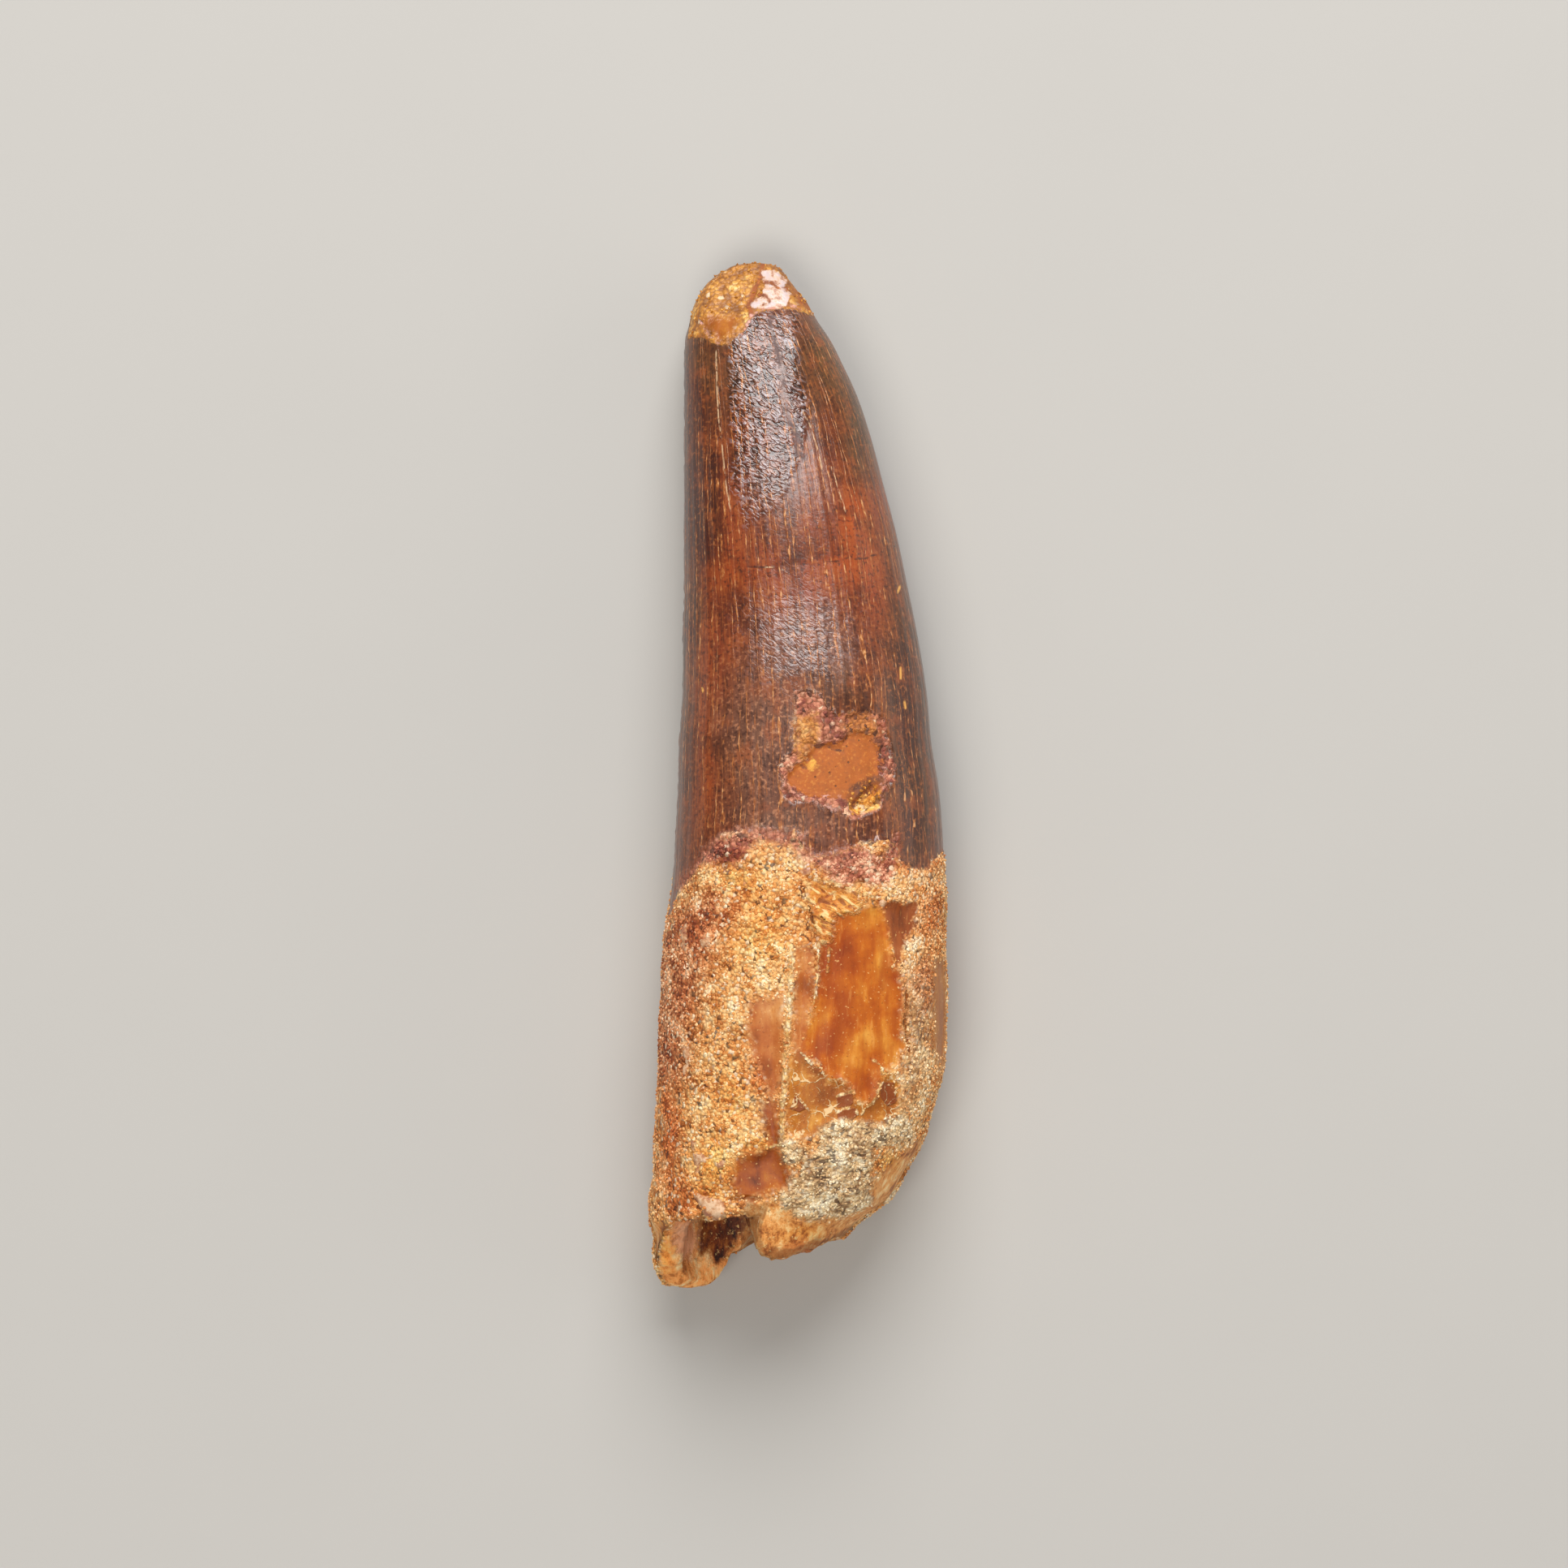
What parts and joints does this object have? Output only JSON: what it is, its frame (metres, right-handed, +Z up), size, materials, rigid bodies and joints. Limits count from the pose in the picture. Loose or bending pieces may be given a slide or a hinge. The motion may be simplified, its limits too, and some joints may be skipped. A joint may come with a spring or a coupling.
{
  "type": "fossil tooth",
  "caption": "Long conical fossil tooth with a chestnut enamel crown, a sand-crusted hollow root broken at its end, and a broken tip. It lies on its side.",
  "frame": {"origin": "under the middle of the tooth's bounding box, on the surface that it lies on", "axes": "+Y along the tooth to its tip, +X across its width, +Z up, out of the pictured side"},
  "size_m": [0.0234, 0.0809, 0.0175],
  "materials": {
    "fossil_tooth": "polished enamel, rough sandy root"
  },
  "bodies": {
    "root": {"tooth": "fossil_tooth"}
  },
  "joints": []
}
